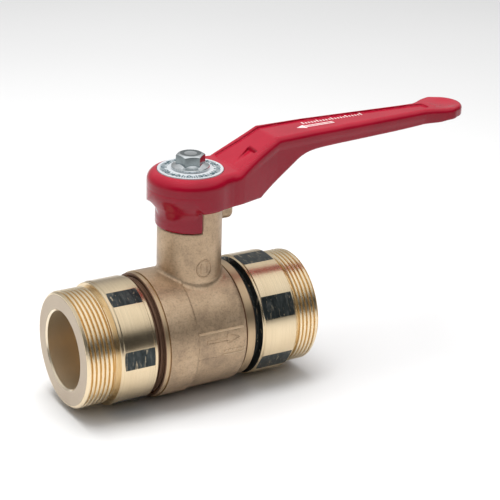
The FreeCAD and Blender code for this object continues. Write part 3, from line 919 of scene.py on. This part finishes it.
def make_body():
    low, high = node_box("valve_body")
    low = (BODY_LEFT - 0.4, low.y, low.z)
    high = (LUG_REACH + 0.4, high.y, high.z)
    verts, quads = skin(body_field, low, high, 0.55)
    piece = mesh_piece("body_casting", verts, quads, [MATERIALS["cast_bronze"]], crease=60)
    machined, shade_brown = MATERIALS["machined_bronze"], MATERIALS["painted_shade_bronze"]
    left, right = BODY_LEFT, BODY_RIGHT
    bores = [(left - 6, 0), (left - 6, 30.9), (left, 30.9), (left + 0.8, 30.05), (-13.2, 30.05),
             (-13.2, 28.6), (13.2, 28.6), (13.2, 28.55), (right - 0.8, 28.55), (right, 29.3),
             (right + 6, 29.3), (right + 6, 0)]
    stem_way = [(18, 0), (18, 11.3), (33.2, 11.3), (33.2, 7.55), (46, 7.55), (46, 10.35),
                (54.6, 10.35), (54.6, 11.05), (64.6, 11.05), (65.4, 11.9), (72, 11.9), (72, 0)]
    carve(piece, turned_piece("bores", bores, "x", [machined], steps=256))
    carve(piece, turned_piece("stem_way", stem_way, "z", [machined], steps=160))
    # The inlet end face and its chamfer take the painted shade brown.
    outer = turned_piece("inlet_turned", [
        (left - 7, 24), (left, 24), (left, 31.7), (left + 0.35, 32.05), (left + 2.0, 32.3),
        (left + 2.2, 31.9), (left + 2.6, 31.9), (left + 2.75, 32.9), (left + 2.75, 40), (left - 7, 40)],
        "x", [machined, shade_brown], [1, 1, 1, 0, 0, 0, 0, 0, 0, 0], steps=256)
    carve(piece, outer)
    # The step and narrow groove at the start of the outlet strip take the painted shade brown.
    strip = turned_piece("outlet_turned", [
        (right + 7, 24), (right + 7, 40), (17.3, 40), (17.3, 30.3), (17.5, 29.9), (18.0, 29.9),
        (18.3, 30.3), (18.5, 30.5), (right - 0.5, 30.5), (right, 30.0), (right, 24)],
        "x", [machined, shade_brown], [0, 1, 1, 1, 1, 1, 0, 0, 0, 0, 0], steps=256)
    carve(piece, strip)
    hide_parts("valve_body")
    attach(piece, "valve")


def bead(path, radius, material, closed=False, sides=8):
    """Round bead along a chain of points, as a raised line stands on a casting."""
    path = [Vector(p) for p in path]
    count = len(path)
    verts, faces = [], []
    for k, point in enumerate(path):
        ahead = path[(k + 1) % count] if closed or k + 1 < count else point
        behind = path[k - 1] if closed or k else point
        along = (ahead - behind).normalized()
        one = along.cross(Vector((0.31, 0.23, 0.92))).normalized()
        two = along.cross(one)
        for j in range(sides):
            turn_by = 2 * math.pi * j / sides
            verts.append(point + (one * math.cos(turn_by) + two * math.sin(turn_by)) * radius)
    for k in range(count if closed else count - 1):
        for j in range(sides):
            a, b = k * sides + j, k * sides + (j + 1) % sides
            c, d = (k + 1) % count * sides + (j + 1) % sides, (k + 1) % count * sides + j
            faces.append((a, b, c, d))
    if not closed:
        faces.append(tuple(range(sides))[::-1])
        faces.append(tuple((count - 1) * sides + j for j in range(sides)))
    return mesh_piece("bead", [tuple(v) for v in verts], faces, [material], crease=80)


def on_barrel(x, degrees, radius):
    """Point on the barrel, counted from the top towards the front."""
    a = math.radians(degrees)
    return (x, -radius * math.sin(a), radius * math.cos(a))


def make_cast_marks():
    """Raised border with a flow arrow on the barrel, and a round pattern mark on the neck."""
    bead_highlight = MATERIALS["bead_highlight_bronze"]
    radius = PANEL_R - 0.05
    pieces = []
    # The border lines and the bars take the painted highlight bronze; the arrow and the neck mark keep the
    # casting's colour.
    for x, length, degrees in ((-10.5, 25.5, 75.2), (3.0, 12.0, 98.5)):
        pieces.append(bead([on_barrel(x + length * t / 14, degrees, radius) for t in range(15)],
                           MARK_BEAD, bead_highlight))
    arrow = [(-6.0, 82.2), (5.5, 82.2), (5.5, 79.0), (12.3, 83.7), (5.5, 88.4), (5.5, 85.2), (-6.0, 85.2)]
    chain = []
    for (x0, a0), (x1, a1) in zip(arrow, arrow[1:] + arrow[:1]):
        chain += [on_barrel(x0 + (x1 - x0) * t / 6, a0 + (a1 - a0) * t / 6, radius) for t in range(6)]
    pieces.append(bead(chain, 0.4, MATERIALS["cast_bronze"], closed=True))
    for k in range(5):
        x = 3.6 + 2.5 * k
        pieces.append(bead([on_barrel(x + 1.7 * t / 4, 94.5, radius) for t in range(5)], 0.45, bead_highlight))
    ring = []
    for k in range(40):
        a = 2 * math.pi * k / 40
        across = 4.1 * math.cos(a) / NECK_R
        ring.append(((NECK_R - 0.02) * math.sin(across), -(NECK_R - 0.02) * math.cos(across),
                     37.0 + 4.6 * math.sin(a)))
    pieces.append(bead(ring, MARK_BEAD, MATERIALS["cast_bronze"], closed=True))
    for x in (-1.7, 1.7):
        pieces.append(bead([(x, -math.sqrt(NECK_R ** 2 - x * x) + 0.02, 34.6 + 4.8 * t / 6)
                            for t in range(7)], MARK_BEAD, MATERIALS["cast_bronze"]))
    piece = join("cast_marks", pieces)
    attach(piece, "valve")


# ---- end pieces --------------------------------------------------------------

def thread_radius(station, start, stop, hand, steps):
    """Rounded G 2 thread: radius at each station and angle, run out at both ends."""
    angle = np.linspace(0, 2 * np.pi, steps, endpoint=False)[None, :]
    x = np.asarray(station)[:, None]
    phase = ((x - start) / THREAD_PITCH - hand * angle / (2 * np.pi)) % 1.0
    across = np.abs(2 * phase - 1)
    depth = THREAD_DEPTH * (0.5 - 0.5 * np.cos(np.pi * np.clip((across - 0.44) / 0.54, 0, 1)))
    chamfer = THREAD_R - np.maximum(x - (stop - THREAD_CHAMFER), 0)
    lead_in = THREAD_R - THREAD_DEPTH + np.maximum(x - start + 0.2, 0) * 1.1
    return np.minimum(np.minimum(THREAD_R - depth, chamfer), lead_in)


def make_end_piece(node, sign, body, collar, spigot_r, flat_angle, apothem, shoulder):
    """Turned end with its thread, collar and six flats; sign is -1 for the inlet, 1 for the outlet."""
    low, high = node_box(node)
    end = max(abs(low.x), abs(high.x))
    steps = 240
    collar_out = collar + COLLAR_WIDTH
    start = collar_out + RELIEF_WIDTH
    low_r = apothem - 0.03
    # Painted shade on the neck in the gap between body and collar: dark brown at the inlet, the bluish black
    # flat material at the outlet.
    gap = 5 if sign < 0 else 4
    before = [(SPIGOT_TIP, SPIGOT_BORE_R), (SPIGOT_TIP, spigot_r - 0.8), (SPIGOT_TIP + 0.8, spigot_r),
              (body, spigot_r), (body + 0.5, spigot_r - 0.9), (body + 1.5, spigot_r - 0.9),
              (body + 1.9, spigot_r - 1.9), (collar - 0.3, spigot_r - 1.9), (collar, spigot_r - 1.6),
              (collar, low_r - 0.3), (collar + 0.3, low_r), (collar + shoulder, low_r),
              (collar + shoulder + 0.4, COLLAR_R), (collar_out - shoulder - 0.4, COLLAR_R),
              (collar_out - shoulder, low_r), (collar_out - 0.3, low_r), (collar_out, low_r - 0.3),
              (collar_out, RELIEF_R), (start - 0.3, RELIEF_R)]
    after = [(end - 0.15, THREAD_R - 1.5), (end, THREAD_R - 1.7), (end, BORE_R + 0.8),
             (end - 0.8, BORE_R), (end - 20, BORE_R), (SEAT_FLOOR, BORE_R), (SEAT_FLOOR, SPIGOT_BORE_R)]
    thread = np.arange(start, end - 0.16, THREAD_PITCH / 22)
    station = [x for x, _ in before] + list(thread) + [x for x, _ in after]
    radius = np.concatenate([
        np.repeat([[r] for _, r in before], steps, 1),
        thread_radius(thread, start, end, -sign, steps),
        np.repeat([[r] for _, r in after], steps, 1)])
    slots = ["turned_brass", "thread_brass", "face_brass", "bore_brass_painted_light", "painted_dark_flat", "painted_shade_bronze"]
    # The spigot and the neck in the gap carry painted shade; the collar, thread, end face and bore carry
    # brass.
    kind = [5] * 5 + [gap] * 4 + [0] * 8 + [1] * (len(thread) + 2) + [2] * 2
    kind += [3] * (len(station) - len(kind))
    verts, quads = turn(np.array(station) * sign, radius, "x", steps)
    piece = mesh_piece(node.replace("_piece", "_turned"), verts, outward(verts, quads),
                       [MATERIALS[s] for s in slots], np.repeat(kind, steps), crease=35)
    boxes_v, boxes_f = [], []
    for k in range(6):
        turn_by = Matrix.Rotation(math.radians(flat_angle + 60 * k), 3, "X")
        base = len(boxes_v)
        for x in (collar - 0.01, collar_out + 0.01):
            for y in (-12, 12):
                for z in (apothem, 40):
                    boxes_v.append(tuple(turn_by @ Vector((sign * x, y, z))))
        for face in ((0, 1, 3, 2), (4, 6, 7, 5), (0, 4, 5, 1), (2, 3, 7, 6), (0, 2, 6, 4), (1, 5, 7, 3)):
            boxes_f.append(tuple(base + f for f in (face if sign > 0 else face[::-1])))
    # The six flats take the bluish black material, a painted dark reflection.
    carve(piece, mesh_piece("chips", boxes_v, boxes_f, [MATERIALS["painted_dark_flat"]]), crease=35)
    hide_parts(node)
    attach(piece, "valve")


# ---- CAD pieces that stay ------------------------------------------------------

def finish_cad_nodes():
    slots = {s["node"]: s["material_slot"] for s in frame["record"]["subparts"]}
    for node, piece in frame["nodes"].items():
        if not piece.hide_render:
            piece.data.materials.clear()
            piece.data.materials.append(MATERIALS[slots[node]])


add_studio()
make_handle()
make_dial()
make_dial_print()
make_bolt()
make_grip_print()
make_body()
make_cast_marks()
make_end_piece("inlet_end_piece", -1, 29.3, 33.2, 30.0, 25.5, 31.45, 1.7)
make_end_piece("outlet_end_piece", 1, 23.2, 27.0, 28.5, 3.5, 31.25, 0.9)
finish_cad_nodes()
